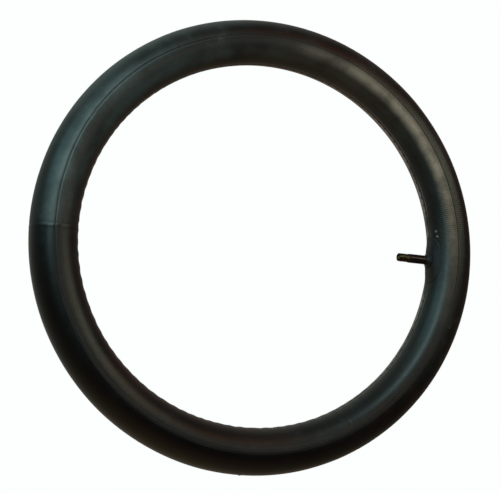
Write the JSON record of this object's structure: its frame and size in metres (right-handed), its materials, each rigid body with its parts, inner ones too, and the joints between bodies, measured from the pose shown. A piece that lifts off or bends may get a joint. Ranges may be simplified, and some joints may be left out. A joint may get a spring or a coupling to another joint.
{
  "type": "bicycle inner tube",
  "caption": "Inflated butyl inner tube lying flat, with a rubber-covered valve stem that holds a screw-in, spring-closed valve core.",
  "frame": {"origin": "centre of the ring, on its mid-plane", "axes": "+Z along the ring's axis, up from the surface it lies on; the valve stands on the ring's inner side at +X and points along -X, at the centre"},
  "size_m": [0.406, 0.406, 0.0404],
  "materials": {
    "butyl_black": "satin, as cured, a little dusty",
    "cover_rubber": "semi-gloss moulded",
    "stem_brass": "machined, tarnished",
    "core_brass": "machined, clean",
    "seal_rubber": "matt moulded",
    "spring_steel": "drawn wire"
  },
  "bodies": {
    "tube": {"tube_body": "butyl_black", "valve_pad": "butyl_black", "stem_cover": "cover_rubber", "valve_stem": "stem_brass"},
    "core": {"core_barrel": "core_brass", "barrel_seal": "seal_rubber"},
    "plug": {"core_plug": "core_brass"},
    "pin": {"core_pin": "core_brass", "plunger_cup": "core_brass", "cup_seal": "seal_rubber", "core_spring": "spring_steel"}
  },
  "joints": [
    {"name": "core_lift", "type": "slide", "parent": "tube", "child": "core", "axis": [-1, 0, 0], "range_m": [0, 0.0056]},
    {"name": "core_turn", "type": "hinge", "parent": "core", "child": "plug", "pos_m": [0.1354, 0, 0], "axis": [-1, 0, 0], "range_deg": [0, 2858]},
    {"name": "pin_press", "type": "slide", "parent": "core", "child": "pin", "axis": [1, 0, 0], "range_m": [0, 0.0015], "stiffness_N_per_m": 1500, "deforming": ["core_spring"]}
  ],
  "couplings": [
    {"joint": "core_turn", "follows": "core_lift", "rad_per_m": 8904.7}
  ]
}
